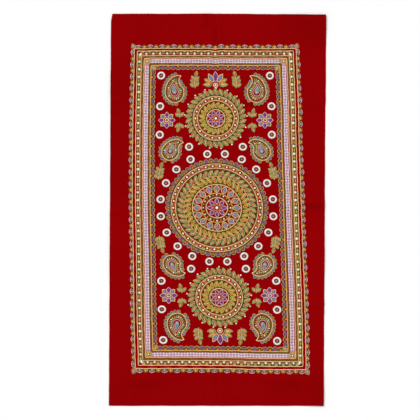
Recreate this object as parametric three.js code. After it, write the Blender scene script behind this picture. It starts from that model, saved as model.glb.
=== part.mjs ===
import * as THREE from "three";

// A painted cotton panel, laid open and face up on a flat surface. It is one cut length of
// cloth with no hem, backing or hanging pole. It was folded away once along its length and
// twice across it, so it still carries one long fold and three cross folds.
//
// Frame: millimetres, +Z up. The underside rests at z = 0, the long way is Y with the top
// edge of the picture at +Y, and the origin is under the middle of the cloth.

// ---- Cut of the cloth ----
const CLOTH_WIDTH = 351.4;
const CLOTH_LENGTH = 641.2;
const CLOTH_THICKNESS = 1;
const SIDE_LEAN = 3.5; // the sides are cut out of square: the top edge lies this far to +X
const TOP_EDGE_DROP = 1.7; // the right end of the top edge is cut this much short
const CORNER_WEAR = 1.9; // how far the worn top left corner is drawn in

// ---- Folds ----
// A rise above zero is a crest, which stands up as a low tent. A rise below zero is a
// furrow, which touches the surface between two soft swells of that height.
const FOLD_REACH = 14; // from a fold's line to where the cloth lies flat again
const TURN_WIDTH = 24; // a cross fold turns over from furrow to crest across this width

const LONG_FOLD = { bottomX: -1, topX: -4, rise: -0.7 };

// Folding in half and in half again leaves the folds of one half turned the other way
// from those of the other half.
const CROSS_FOLDS = [
  { name: "lower", leftY: -160.6, rightY: -160.2, leftRise: 0.8, rightRise: -1.0 },
  { name: "middle", leftY: 3.3, rightY: 7.0, leftRise: -0.8, rightRise: 1.4 },
  { name: "upper", leftY: 170.0, rightY: 173.5, leftRise: -0.6, rightRise: 0.8 },
];

// ---- Places where the cloth doesn't lie quite down ----
const SWELLS = [
  { name: "top right corner", x: 180, y: 322, reachX: 95, reachY: 62, rise: 2.6 },
  { name: "top left edge", x: -176, y: 196, reachX: 44, reachY: 58, rise: 1.5 },
  { name: "top edge", x: -19, y: 322, reachX: 30, reachY: 46, rise: 1.1 },
  { name: "left edge", x: -178, y: -62, reachX: 46, reachY: 82, rise: 1.3 },
  { name: "right edge", x: 176, y: -76, reachX: 44, reachY: 72, rise: 1.4 },
  { name: "bottom left", x: -126, y: -286, reachX: 66, reachY: 40, rise: 1.5 },
  { name: "bottom right", x: 104, y: -290, reachX: 70, reachY: 40, rise: 1.4 },
  { name: "bottom right corner", x: 176, y: -322, reachX: 48, reachY: 86, rise: 2.0 },
];

// ---- Fineness of the facets ----
const FOLD_STEPS = [-1, -0.6, -0.3, 0, 0.3, 0.6, 1]; // lines along a fold, in reaches
const WIDEST_GAP = 22; // between lines where the cloth lies flat

const mix = (a, b, share) => a + (b - a) * share;

// A bump that is 1 at zero, 0 from one outwards, and level at both.
const bump = (t) => (Math.abs(t) < 1 ? (1 - t * t) ** 2 : 0);

// Two bumps of height 1 with a level furrow between them.
const FURROW_SCALE = 27 / 4;
const furrow = (t) => FURROW_SCALE * t * t * bump(t);

function foldLift(distance, rise) {
  const t = distance / FOLD_REACH;
  return rise > 0 ? rise * bump(t) : -rise * furrow(t);
}

const longFoldX = (y) => mix(LONG_FOLD.bottomX, LONG_FOLD.topX, y / CLOTH_LENGTH + 0.5);

// 0 left of the long fold and 1 right of it, turning over smoothly.
function rightShare(x, y) {
  const t = (x - longFoldX(y)) / TURN_WIDTH + 0.5;
  return THREE.MathUtils.smoothstep(t, 0, 1);
}

function crossFoldLift(fold, x, y) {
  const distance = y - mix(fold.leftY, fold.rightY, x / CLOTH_WIDTH + 0.5);
  const right = rightShare(x, y);
  const left = 1 - right;
  return left * foldLift(distance, fold.leftRise) + right * foldLift(distance, fold.rightRise);
}

function swellLift(swell, x, y) {
  const away = Math.hypot((x - swell.x) / swell.reachX, (y - swell.y) / swell.reachY);
  return swell.rise * bump(away);
}

// How far the underside stands off the surface at a place on the cloth.
function lift(x, y) {
  let height = foldLift(x - longFoldX(y), LONG_FOLD.rise);
  for (const fold of CROSS_FOLDS) height += crossFoldLift(fold, x, y);
  for (const swell of SWELLS) height += swellLift(swell, x, y);
  return height;
}

// Grid lines from edge to edge, each as its places at the two ends of the line. Every fold
// gets a line for each of FOLD_STEPS, and the flat stretches between are divided evenly.
function gridLines(first, folds, last) {
  const steps = (fold) => FOLD_STEPS.map((step) => fold.map((end) => end + step * FOLD_REACH));
  const stops = [first, ...folds.flatMap(steps), last];
  const lines = [first];
  for (let k = 1; k < stops.length; k += 1) {
    const [from, to] = [stops[k - 1], stops[k]];
    const parts = Math.ceil((to[0] - from[0]) / WIDEST_GAP);
    for (let part = 1; part <= parts; part += 1) {
      lines.push(from.map((end, which) => mix(end, to[which], part / parts)));
    }
  }
  return lines;
}

const halfWidth = CLOTH_WIDTH / 2;
const halfLength = CLOTH_LENGTH / 2;

// Columns run from the bottom edge to the top edge, and rows from the left to the right.
const columns = gridLines(
  [-halfWidth, -halfWidth],
  [[LONG_FOLD.bottomX, LONG_FOLD.topX]],
  [halfWidth, halfWidth],
);
const rows = gridLines(
  [-halfLength, -halfLength],
  CROSS_FOLDS.map((fold) => [fold.leftY, fold.rightY]),
  [halfLength, halfLength],
);

// The place on the cloth where a column meets a row, leaning with the cut.
function gridPoint(column, row) {
  const [bottomX, topX] = columns[column];
  const [leftY, rightY] = rows[row];
  const acrossShare = (bottomX + topX) / 2 / CLOTH_WIDTH + 0.5;
  const y = mix(leftY, rightY, acrossShare);
  const x = mix(bottomX, topX, y / CLOTH_LENGTH + 0.5);
  const atTop = row === rows.length - 1;
  const short = atTop ? TOP_EDGE_DROP * Math.max(0, x / halfWidth) ** 1.5 : 0;
  const wear = atTop && column === 0 ? CORNER_WEAR : 0;
  return {
    x: x + wear + SIDE_LEAN * (y / CLOTH_LENGTH),
    y: y - short - wear / 4,
  };
}

// ---- The cloth: a thin box with a segment for each grid cell, laid over the lifts ----
function clothGeometry() {
  const acrossCells = columns.length - 1;
  const alongCells = rows.length - 1;
  const sheet = new THREE.BoxGeometry(1, 1, 1, acrossCells, alongCells, 1);
  const position = sheet.getAttribute("position");
  for (let k = 0; k < position.count; k += 1) {
    const column = Math.round((position.getX(k) + 0.5) * acrossCells);
    const row = Math.round((position.getY(k) + 0.5) * alongCells);
    const isFace = position.getZ(k) > 0;
    const { x, y } = gridPoint(column, row);
    position.setXYZ(k, x, y, lift(x, y) + (isFace ? CLOTH_THICKNESS : 0));
  }
  sheet.computeVertexNormals();
  return sheet;
}

const dyedCotton = new THREE.MeshStandardMaterial({
  color: 0x900003,
  roughness: 0.9,
  metalness: 0,
});

const cloth = new THREE.Mesh(clothGeometry(), dyedCotton);
cloth.name = "cloth";

const painting = new THREE.Group();
painting.add(cloth);

export default painting;
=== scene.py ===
# %% [markdown]
# # A rogan painted cloth
# Rogan work is drawn on dyed cotton with a paste of boiled castor oil and pigment. The
# maker pulls the paste into a thread on a metal stylus and lays the thread on the cloth,
# so every line stands up a little and has soft round sides. Here the cloth is one thin
# sheet, and every line, bead and leaf is a real raised thread of paste on it.
# All design sizes are in millimetres. They are turned to metres when a mesh is made.

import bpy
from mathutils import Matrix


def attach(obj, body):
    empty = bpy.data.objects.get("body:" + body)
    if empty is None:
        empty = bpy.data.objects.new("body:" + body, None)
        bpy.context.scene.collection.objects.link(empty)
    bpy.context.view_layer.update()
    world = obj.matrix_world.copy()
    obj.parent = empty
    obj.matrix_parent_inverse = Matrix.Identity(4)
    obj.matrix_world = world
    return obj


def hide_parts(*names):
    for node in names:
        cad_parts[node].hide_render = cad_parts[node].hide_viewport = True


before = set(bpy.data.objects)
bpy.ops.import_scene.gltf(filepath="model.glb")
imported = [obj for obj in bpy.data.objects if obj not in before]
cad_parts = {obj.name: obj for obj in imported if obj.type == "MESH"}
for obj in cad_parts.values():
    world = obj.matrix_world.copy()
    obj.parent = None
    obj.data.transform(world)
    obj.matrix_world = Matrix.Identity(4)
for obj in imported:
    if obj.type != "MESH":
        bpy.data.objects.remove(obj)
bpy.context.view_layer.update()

import math

import bpy
import numpy as np

bpy.ops.object.select_all(action="DESELECT")
MM = 0.001

# %% [markdown]
# ## Colours and shader nodes
# Colours are given as sRGB hex values, as in any paint program. Blender's shaders
# count in linear light, so one function turns them. A second small function adds a shader
# node with its settings and links, which keeps each finish short enough to read.

# %% Colour and node helpers
def linear(hex_colour, share=1.0):
    """An sRGB hex colour as linear RGBA, lighter or darker by a share."""
    channels = [int(hex_colour[k : k + 2], 16) / 255 for k in (1, 3, 5)]
    curve = [c / 12.92 if c <= 0.04045 else ((c + 0.055) / 1.055) ** 2.4 for c in channels]
    return [min(c * share, 1.0) for c in curve] + [1.0]


def new_finish(name):
    """An empty node material with its output and main shader."""
    finish = bpy.data.materials.new(name)
    finish.use_nodes = True
    return finish, finish.node_tree.nodes["Principled BSDF"]


def add(finish, kind, settings=None, **inputs):
    """Adds a node to a finish or a sky. An input is a value, or an output to link to."""
    node = finish.node_tree.nodes.new("ShaderNode" + kind)
    for name, value in (settings or {}).items():
        setattr(node, name, value)
    plug(finish, node, **inputs)
    return node


def plug(finish, node, **inputs):
    """Sets or links a node's inputs, named with _ for a space, or in_0, in_1 by place."""
    for name, value in inputs.items():
        key = int(name[3:]) if name.startswith("in_") else name.replace("_", " ")
        if isinstance(value, bpy.types.NodeSocket):
            finish.node_tree.links.new(value, node.inputs[key])
        else:
            node.inputs[key].default_value = value


print("pure dyed red in linear light:", linear("#900003"))

# %% [markdown]
# ## How the cloth lies
# The cloth was folded away: once along its length, then twice across. Opened out on a
# table it keeps one long fold and three cross folds. Folding in half and in half again
# turns the folds of one half the other way from those of the other, so each cross fold
# is a low crest on one side of the long fold and a furrow on the other.
# A table with a row for each fold is easier to keep true than points placed by hand.

# %% Sizes and folds of the cloth
CLOTH_WIDTH = 351.4
CLOTH_LENGTH = 641.2
CLOTH_THICKNESS = 0.6  # handspun cotton, stiffened a little by its dye
SIDE_LEAN = 3.5  # the top edge lies this far to the right of a square cut
TOP_EDGE_DROP = 1.7  # the right end of the top edge is cut this much short
RIGHT_EDGE_STEP = 0.6  # and the right edge stands out this much above the upper fold
FOLD_REACH = 14.0  # from a fold's line to where the cloth lies flat again
TURN_WIDTH = 24.0  # a cross fold turns over from furrow to crest across this width
FURROW_SCALE = 27 / 4  # brings the swells beside a furrow up to its full height

LONG_FOLD = {"bottom_x": -1.0, "top_x": -4.0, "rise": -0.7}
CROSS_FOLDS = [
    {"left_y": -160.6, "right_y": -160.2, "left_rise": 0.8, "right_rise": -1.0},
    {"left_y": 3.3, "right_y": 7.0, "left_rise": -0.8, "right_rise": 1.4},
    {"left_y": 170.0, "right_y": 173.5, "left_rise": -0.6, "right_rise": 0.8},
]
SWELLS = [  # x, y, reach across, reach along, rise
    (180, 322, 95, 62, 2.6),
    (-176, 196, 44, 58, 1.5),
    (-19, 322, 30, 46, 1.1),
    (-178, -62, 46, 82, 1.3),
    (176, -76, 44, 72, 1.4),
    (-126, -286, 66, 40, 1.5),
    (104, -290, 70, 40, 1.4),
    (176, -322, 48, 86, 2.0),
]
print(len(CROSS_FOLDS), "cross folds, one long fold and", len(SWELLS), "swells")

# %% Height of the cloth at any place
def mix(a, b, share):
    return a + (b - a) * share


def bump(t):
    """1 at zero, 0 from one outwards, and level at both."""
    return np.where(np.abs(t) < 1, (1 - np.clip(t * t, 0, 1)) ** 2, 0.0)


def fold_lift(distance, rise):
    """A crest for a rise above zero, else a furrow between two swells of that height."""
    t = distance / FOLD_REACH
    return rise * bump(t) if rise > 0 else -rise * FURROW_SCALE * t * t * bump(t)


def long_fold_x(y):
    return mix(LONG_FOLD["bottom_x"], LONG_FOLD["top_x"], y / CLOTH_LENGTH + 0.5)


def cross_fold_y(fold, x):
    return mix(fold["left_y"], fold["right_y"], x / CLOTH_WIDTH + 0.5)


def lift(x, y):
    """How far the underside stands off the table at places on the cloth."""
    height = fold_lift(x - long_fold_x(y), LONG_FOLD["rise"])
    turn = np.clip((x - long_fold_x(y)) / TURN_WIDTH + 0.5, 0, 1)
    right = turn * turn * (3 - 2 * turn)
    for fold in CROSS_FOLDS:
        distance = y - cross_fold_y(fold, x)
        height = height + (1 - right) * fold_lift(distance, fold["left_rise"])
        height = height + right * fold_lift(distance, fold["right_rise"])
    for swell_x, swell_y, reach_x, reach_y, rise in SWELLS:
        away = np.hypot((x - swell_x) / reach_x, (y - swell_y) / reach_y)
        height = height + rise * bump(away)
    return height


print("crest of the middle fold, mm:", round(float(lift(np.array(60.0), np.array(5.8))), 2))

# %% [markdown]
# ## The cloth
# On the real piece this is a cut length of plain cotton, torn or cut by hand, so it is a
# little out of square and one top corner is worn round. It could be a box, but a box has
# no folds. A fine grid laid over the table of folds follows every one, and the Solidify
# modifier then gives it an even thickness, as woven cloth has.

# %% Cut the cloth
GRID_STEP = 2.8  # fine enough for a fold to look round
ACROSS = round(CLOTH_WIDTH / GRID_STEP)
ALONG = round(CLOTH_LENGTH / GRID_STEP)

bpy.ops.mesh.primitive_grid_add(x_subdivisions=ACROSS, y_subdivisions=ALONG, size=1)
cloth = bpy.context.object
cloth.name = "painted_cloth"
places = np.empty(len(cloth.data.vertices) * 3)
cloth.data.vertices.foreach_get("co", places)
across, along = places.reshape(-1, 3)[:, 0], places.reshape(-1, 3)[:, 1]
print("grid of", ACROSS, "by", ALONG, "cells")

# %% Give it its outline
CORNER_WEAR = [  # u, v, how far drawn in, and how far down the side
    (-0.5, 0.5, 1.9, 7.0),
    (0.5, 0.5, 0.4, 2.5),
    (0.5, -0.5, 0.3, 2.5),
    (-0.5, -0.5, 0.3, 2.5),
]
WEAR_ALONG_END = 2.5  # how far from a corner its wear shows on the short edge
STEP_FROM = 168.0  # where the right edge begins to stand out, above the middle
STEP_LENGTH = 12.0
NEAR_SIDES, NEAR_ENDS = 8, 16  # powers that keep an edge's wander out of the cloth


def hand_cut(t, seed):
    """The slow wander of scissors along an edge, in mm."""
    return 0.10 * np.sin(9.1 * t + seed) + 0.06 * np.sin(23.7 * t + 2.3 * seed)


def cut_outline(u, v):
    """Where a place of the square grid lies on the hand-cut cloth, in mm."""
    wear = np.zeros_like(u)
    for corner_u, corner_v, drawn_in, down in CORNER_WEAR:
        aside = (u - corner_u) * CLOTH_WIDTH / WEAR_ALONG_END
        below = (v - corner_v) * CLOTH_LENGTH / down
        wear = wear + drawn_in * np.exp(-(aside**2) - below**2)
    right = np.clip(2 * u, 0, 1)
    step = RIGHT_EDGE_STEP * np.clip((v * CLOTH_LENGTH - STEP_FROM) / STEP_LENGTH, 0, 1)
    side_wander = np.abs(2 * u) ** NEAR_SIDES * hand_cut(6 * v, 1.0 + np.sign(u))
    end_wander = np.abs(2 * v) ** NEAR_ENDS * hand_cut(3 * u, 4.0 + np.sign(v))
    x = u * CLOTH_WIDTH + SIDE_LEAN * v + side_wander + step * right**NEAR_SIDES
    y = v * CLOTH_LENGTH - TOP_EDGE_DROP * right**1.5 * (v + 0.5) + end_wander
    return x - np.sign(u) * wear, y - np.sign(v) * wear / 4


cloth_x, cloth_y = cut_outline(across, along)
cloth_z = lift(cloth_x, cloth_y) + CLOTH_THICKNESS
laid = np.stack([cloth_x, cloth_y, cloth_z], axis=1) * MM
cloth.data.vertices.foreach_set("co", laid.ravel())
print("cut cloth, mm:", round(float(np.ptp(cloth_x)), 1), "by", round(float(np.ptp(cloth_y)), 1))

# %% [markdown]
# ## Painted crease shade and uneven dye
# Along parts of each fold's line the red is painted a shade darker, as painted shade that stands
# in for the shadow in the crease. Broad patches are painted darker or lighter: partly painted
# shade where the cloth curls or tilts, as at the top right corner, and partly because a dye vat
# never takes quite evenly. Both belong to places on this cloth and not to the weave, so they
# are kept as one number for each point of the mesh, which the finish reads later.

# %% Painted crease shade and patches
# Lines of painted shade along the creases, standing in for the shadow in each fold.
CREASE_SHADE_LINES = [  # from, to, width, shade
    ((24, 4.9), (148, 6.3), 3.4, -0.17),
    ((156, 6.6), (178, 7.0), 4.2, -0.15),
    ((26, 172.0), (74, 172.7), 2.6, -0.12),
    ((84, -161.0), (178, -161.2), 1.9, -0.10),
    ((-178, -160.6), (-84, -160.4), 1.8, -0.01),
    ((-18.9, 322), (-18.7, 301), 4.2, -0.13),
    ((-3.6, 296), (-3.2, 276), 2.8, -0.11),
    ((-1.4, -270), (-1.0, -322), 2.2, -0.015),
]
# Patches of painted shade where the cloth curls or tilts, darkest at the top right corner, mixed
# with patches of uneven dye.
SHADE_AND_DYE_PATCHES = [  # x, y, reach across, reach along, shade
    (146, 306, 50, 34, -0.10),
    (166, 282, 22, 18, -0.04),
    (-160, 222, 30, 40, -0.045),
    (-160, 190, 30, 22, -0.02),
    (-160, 118, 36, 56, -0.035),
    (-158, 34, 40, 34, -0.02),
    (-162, -34, 40, 34, 0.045),
    (-162, -100, 40, 40, 0.03),
    (164, -106, 40, 88, 0.04),
    (166, -252, 20, 16, -0.03),
    (-120, -285, 30, 9, -0.085),
    (-64, -302, 34, 10, 0.02),
    (116, -287, 38, 11, -0.085),
    (40, -296, 40, 16, 0.015),
    (168, -300, 18, 40, -0.07),
    (0, -334, 260, 50, -0.03),
]
print(len(CREASE_SHADE_LINES), "pressed lines and", len(SHADE_AND_DYE_PATCHES), "patches")

# %% Mark them on the mesh
FADE = 5.0  # a line of painted crease shade fades out over this much past its ends


def crease_shade_weight(start, end, width, x, y):
    """How strongly a line of painted crease shade darkens each place."""
    start, end = np.array(start), np.array(end)
    length = np.hypot(*(end - start))
    ahead = (end - start) / length
    run = (x - start[0]) * ahead[0] + (y - start[1]) * ahead[1]
    beyond = np.maximum(np.maximum(-run, run - length), 0)
    aside = (x - start[0]) * ahead[1] - (y - start[1]) * ahead[0]
    return np.exp(-((aside / width) ** 2) - (beyond / FADE) ** 2)


shade = np.zeros_like(cloth_x)
# painted crease shade
for start, end, width, darker in CREASE_SHADE_LINES:
    shade = shade + darker * crease_shade_weight(start, end, width, cloth_x, cloth_y)
# patches: partly painted shade where the cloth curls or tilts, partly uneven dye
for patch_x, patch_y, reach_x, reach_y, darker in SHADE_AND_DYE_PATCHES:
    away = np.hypot((cloth_x - patch_x) / reach_x, (cloth_y - patch_y) / reach_y)
    shade = shade + darker * np.exp(-(away**2))
# One number for each point: painted crease shade, plus patches of painted shade and uneven dye.
painted_shade_and_dye = cloth.data.attributes.new("painted_shade_and_dye", "FLOAT", "POINT")
painted_shade_and_dye.data.foreach_set("value", shade)
print("dye shade runs from", round(float(shade.min()), 3), "to", round(float(shade.max()), 3))

# %% Give the sheet its thickness
thickness = cloth.modifiers.new("cloth thickness", "SOLIDIFY")
thickness.thickness = CLOTH_THICKNESS * MM
thickness.offset = -1
bpy.ops.object.modifier_apply(modifier=thickness.name)
bpy.ops.object.shade_smooth_by_angle(angle=math.radians(50))
print("cloth faces:", len(cloth.data.polygons))

# %% [markdown]
# ## Dyed handspun cotton
# The ground is a plain weave, one thread over and one under, in yarn that was spun by hand
# and so has thick and thin stretches. It is matt, because the fibres scatter light every
# way, so its roughness is high and its gloss is next to nothing. The dye is a strong red.
# Real threads are about 0.45 mm apart, which is too fine to show from above, so the weave
# is drawn at twice that. The slubs are drawn at their real length of two or three
# centimetres, and two threads wide so that they show.

# %% Weave the finish
THREAD_SPACING = 0.9
SLUB_LENGTH = 26.0
SLUB_WIDTH = 2 * THREAD_SPACING
YARN_RISE = 0.35  # how far a thread climbs over the one it crosses

dyed_cotton, cotton = new_finish("dyed handspun cotton")
where = add(dyed_cotton, "TexCoord").outputs["Object"]
per_metre = 1000 / THREAD_SPACING
counts = add(dyed_cotton, "VectorMath", {"operation": "SCALE"}, in_0=where, Scale=per_metre)
thread_count = add(dyed_cotton, "SeparateXYZ", in_0=counts.outputs[0])


def yarn(own, other, rise):
    """How high one set of threads stands: round in section, over and under the other set,
    which rises where this one dips."""
    section = add(dyed_cotton, "Math", {"operation": "PINGPONG"}, in_0=own, in_1=0.5)
    which = add(dyed_cotton, "Math", {"operation": "FLOOR"}, in_0=own).outputs[0]
    passed = add(dyed_cotton, "Math", {"operation": "ADD"}, in_0=other, in_1=which).outputs[0]
    turn = add(dyed_cotton, "Math", {"operation": "MULTIPLY"}, in_0=passed, in_1=math.pi)
    over = add(dyed_cotton, "Math", {"operation": "SINE"}, in_0=turn.outputs[0]).outputs[0]
    height = add(dyed_cotton, "Math", {"operation": "MULTIPLY_ADD"}, in_0=over, in_1=rise)
    plug(dyed_cotton, height, in_2=section.outputs[0])
    return height.outputs[0]


def slubs(stretch):
    """Thick and thin stretches of handspun yarn, long one way and narrow the other."""
    streaks = add(dyed_cotton, "VectorMath", {"operation": "MULTIPLY"}, in_0=where, in_1=stretch)
    noise = add(dyed_cotton, "TexNoise", {"noise_dimensions": "2D"}, Vector=streaks.outputs[0])
    plug(dyed_cotton, noise, Scale=1.0, Detail=2.0)
    return noise.outputs["Fac"]


warp_slubs = slubs((1000 / SLUB_WIDTH, 1000 / SLUB_LENGTH, 0))
weft_slubs = slubs((1000 / SLUB_LENGTH, 1000 / SLUB_WIDTH, 0))
across_count, along_count = thread_count.outputs["X"], thread_count.outputs["Y"]
warp = yarn(across_count, along_count, YARN_RISE)
weft = yarn(along_count, across_count, -YARN_RISE)
weave = add(dyed_cotton, "Math", {"operation": "MAXIMUM"}, in_0=warp, in_1=weft).outputs[0]
print("threads drawn to a centimetre:", round(10 / THREAD_SPACING, 1))

# %% [markdown]
# The colour adds four things up: painted shade in the weave's gaps, where a thread dips under
# the one it crosses, the slubs, slow clouds from the dye vat, and the painted crease shade and
# uneven dye kept on the mesh. A Color Ramp then turns that one number into a red from the dye's
# own range, so the cloth can never drift to another hue.

# %% Dye it
CLOUDS = 14.0  # to a metre, each about as wide as a hand

clouds = add(dyed_cotton, "TexNoise", {"noise_dimensions": "2D"}, Vector=where)
plug(dyed_cotton, clouds, Scale=CLOUDS, Detail=3.0)
# reads the painted crease shade and the patches of painted shade and uneven dye
marks = add(dyed_cotton, "Attribute", {"attribute_name": "painted_shade_and_dye"})


def add_up(*terms):
    """0.5 plus each output's distance from its own middle value, times its weight."""
    total = 0.5
    for output, weight, middle in terms:
        away = add(dyed_cotton, "Math", {"operation": "SUBTRACT"}, in_0=output, in_1=middle)
        step = add(dyed_cotton, "Math", {"operation": "MULTIPLY_ADD"}, in_0=away.outputs[0])
        plug(dyed_cotton, step, in_1=weight, in_2=total)
        total = step.outputs[0]
    return total


depth = add_up(
    # painted shade: darker where the weave dips, lighter on the tops of the threads
    (weave, 0.3, 0.42),
    (warp_slubs, 0.16, 0.5),
    (weft_slubs, 0.13, 0.5),
    (clouds.outputs["Fac"], 0.12, 0.5),
    # painted crease shade, and patches that are partly painted shade and partly uneven dye
    (marks.outputs["Fac"], 1.5, 0.0),
)
dye = add(dyed_cotton, "ValToRGB", Fac=depth)
dye.color_ramp.elements[0].color = linear("#6E0002")
dye.color_ramp.elements[1].color = linear("#AA0106")
dye.color_ramp.elements.new(0.5).color = linear("#910003")
relief = add(dyed_cotton, "Bump", Height=weave, Strength=0.8, Distance=0.25 * MM)
plug(dyed_cotton, cotton, Base_Color=dye.outputs[0], Normal=relief.outputs[0], Roughness=0.92)
plug(dyed_cotton, cotton, IOR=1.46, Specular_IOR_Level=0.02)
cloth.data.materials.append(dyed_cotton)
print("cotton finish has", len(dyed_cotton.node_tree.nodes), "nodes")

# %% [markdown]
# ## Threads of paste
# The paste leaves the stylus as a thread about a millimetre thick. On the cloth it sags
# into a low arch: flat where it touches, round above, a little fatter where it was put
# down and thin where it was pulled off. A curve with a round bevel would be half sunk in
# the cloth and cost many faces, so each thread is a strip of five-sided rings that rests
# on the cloth, and all threads of one colour are joined into one piece.

# %% Pots of paste
hand = np.random.default_rng(11)  # the hand's small accidents, the same on every run
ABOUT_ONE = (0.92, 1.08)  # how far a bead or lobe is from its meant size

PASTES = {
    "cream": "#F8DA9C",
    "yellow": "#E0B458",
    "lime": "#BFC65C",
    "olive": "#6E561C",
    "peach": "#EBAC88",
    "orange": "#E4833A",
    "green": "#90B97A",
    "teal": "#8A9F8A",
    "lilac": "#D6BBCB",
    "purple": "#6C3C7C",
    "white": "#F3F5EA",
    "blue": "#7682A8",
    "brown": "#54260C",
}
pots = {name: {"points": [], "quads": [], "caps": [], "count": 0} for name in PASTES}


def pour(colour, points, quads, caps):
    """Keeps points, their four-sided faces and all other faces in the colour's pot."""
    pot = pots[colour]
    first = pot["count"]
    pot["points"].append(points)
    pot["quads"].append(quads + first)
    pot["caps"].extend([first + corner for corner in cap] for cap in caps)
    pot["count"] += len(points)


print(len(PASTES), "colours of paste")

# %% [markdown]
# ### Where the drawing lies on the cloth
# The drawing is planned on a true rectangle. On the cloth the frame was drawn by eye: its
# left side bows out, its right side leans, the lower border is drawn deeper than the upper
# one and sags to the right, and the top lines dip where they cross the long fold. The plan
# is carried over by tables for the heights, the two sides and the sags, so every thread,
# even in the middle, shares the same lean.

# %% The drawn frame
PLAN_HALF = np.array([140.0, 270.4])  # of the drawing's width and length
FRAME_HEIGHTS = [  # y on the plan, y on the cloth
    (-280.0, -277.4),
    (-247.5, -241.2),
    (247.5, 247.6),
    (252.0, 252.2),
    (258.7, 259.7),
    (264.0, 264.1),
    (280.0, 279.6),
]
FRAME_SIDES = [  # y, x of the left side, x of the right side
    (-267.0, -140.7, 152.1),
    (-228.0, -141.4, 151.5),
    (-184.0, -142.8, 150.8),
    (-125.0, -143.5, 148.9),
    (-52.0, -144.3, 146.0),
    (-8.0, -145.3, 144.3),
    (22.0, -145.6, 143.5),
    (125.0, -145.0, 139.9),
    (160.0, -144.3, 139.5),
    (198.0, -143.4, 137.8),
    (270.3, -141.7, 134.9),
]
UPPER_BORDER_SAG = [  # x, sag
    (-130.0, 0.8),
    (-95.0, 0.1),
    (12.0, 0.1),
    (28.0, 0.5),
    (92.0, 0.6),
    (130.0, 0.2),
]
LOWER_BORDER_SAG = [  # x, sag
    (-42.0, 0.0),
    (16.0, 0.3),
    (61.0, 1.6),
    (92.0, 1.9),
]
UPPER_SAG_SPAN = (200.0, 250.0)  # y on the plan, from no sag to all of it
LOWER_SAG_SPAN = (-120.0, -240.0)
LONG_FOLD_DIP = 1.0  # how far the top lines dip at the long fold
DIP_REACH = 6.0
print("frame sides are read at", len(FRAME_SIDES), "heights")

# %% From the plan to the cloth
def read_table(rows, at, column=1):
    """A column of a table at places between its rows, which go by their first value."""
    return np.interp(at, [row[0] for row in rows], [row[column] for row in rows])


def share_of_span(value, span):
    """0 before a span, 1 after it, and even steps between."""
    return np.clip((value - span[0]) / (span[1] - span[0]), 0, 1)


def on_cloth(plan):
    """Carries plan points, in mm, to their places on the cloth."""
    a, b = plan[:, 0], plan[:, 1]
    y = read_table(FRAME_HEIGHTS, b)
    left_x, right_x = read_table(FRAME_SIDES, y), read_table(FRAME_SIDES, y, column=2)
    x = mix(left_x, right_x, a / PLAN_HALF[0] / 2 + 0.5)
    dip = LONG_FOLD_DIP * np.exp(-(((x - long_fold_x(y)) / DIP_REACH) ** 2))
    upper_sag = dip + read_table(UPPER_BORDER_SAG, x)
    lower_sag = read_table(LOWER_BORDER_SAG, x)
    y = y - upper_sag * share_of_span(b, UPPER_SAG_SPAN)
    return np.stack([x, y - lower_sag * share_of_span(b, LOWER_SAG_SPAN)], axis=1)


corners = on_cloth(np.array([(-1, 1), (1, 1), (1, -1), (-1, -1)]) * PLAN_HALF)
print("corners of the drawn frame, mm:", corners.round(1).tolist())

# %% [markdown]
# ### Laying one thread
# The path is cut into even steps, given the small wander of a hand, and carried to the
# cloth. Its width swells and thins slowly. The height comes from the same lift function
# as the cloth, so a thread climbs each fold as real paste does.

# %% Cut a path into steps
def point_at(at, stops, points):
    """The place, or places, at a distance along a path whose points lie at the stops."""
    return np.stack([np.interp(at, stops, points[:, k]) for k in (0, 1)], axis=-1)


def even_steps(path, step):
    """The same path cut into an even number of even steps, so that a leaf keeps its tip."""
    path = np.asarray(path, dtype=float)
    lengths = np.concatenate([[0], np.cumsum(np.hypot(*np.diff(path, axis=0).T))])
    pairs = max(1, math.ceil(lengths[-1] / (2 * step)))
    stops = np.linspace(0, lengths[-1], 2 * pairs + 1)
    return point_at(stops, lengths, path), stops


def with_end_steps(points, stops, short):
    """Adds a short step at each end, so that a thread can end in a round tip."""
    short = min(short, 0.3 * stops[-1])
    kept = stops[(stops > 1.3 * short) & (stops < stops[-1] - 1.3 * short)]
    closer = np.concatenate([[0, short], kept, [stops[-1] - short, stops[-1]]])
    return point_at(closer, stops, points), closer


print("a 10 mm line in steps of 3 mm:", even_steps([(0, 0), (10, 0)], 3.0)[1].tolist())

# %% Wander and direction
def slow_noise(stops, wavelength):
    """A smooth wander between about -1 and 1 along a thread."""
    phases = hand.uniform(0, 2 * math.pi, 2)
    turns = 2 * math.pi * stops / wavelength
    return 0.65 * np.sin(turns + phases[0]) + 0.35 * np.sin(2.3 * turns + phases[1])


def left(direction):
    """A direction turned a quarter turn to the left."""
    return np.stack([-direction[..., 1], direction[..., 0]], axis=-1)


def left_of(points, closed):
    """The unit direction to the left of a path at each of its points."""
    if closed:
        ahead = np.roll(points, -1, axis=0) - np.roll(points, 1, axis=0)
    else:
        ahead = np.gradient(points, axis=0)
    return left(ahead) / np.maximum(np.hypot(ahead[:, :1], ahead[:, 1:]), 1e-9)


print("left of +X is", left(np.array([1, 0])).tolist())

# %% [markdown]
# A thread's height comes from its width, because paste of one thickness sags to the same
# low arch wherever it is laid. Paste on top of paste starts higher, by about what the
# lower thread stands. The rings of points across a thread are joined into a skin at once,
# with an end face at each end, so that no thread is open underneath or at its ends.

# %% Section of a thread
SECTION = [(-1.0, 0.0), (-0.72, 0.66), (0.0, 1.0), (0.72, 0.66), (1.0, 0.0)]  # an arch
PASTE_HEIGHT = 0.4  # of a thread's width
MOST_HEIGHT = 0.55
LAYER_RISE = 0.3  # paste laid on top of paste starts this much higher
SUNK = 0.04  # the paste grips the yarn this deep


def paste_foot(x, y, layer):
    """The height at which paste starts, on the cloth or on the paste under it."""
    return lift(x, y) + CLOTH_THICKNESS + LAYER_RISE * layer - SUNK


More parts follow.
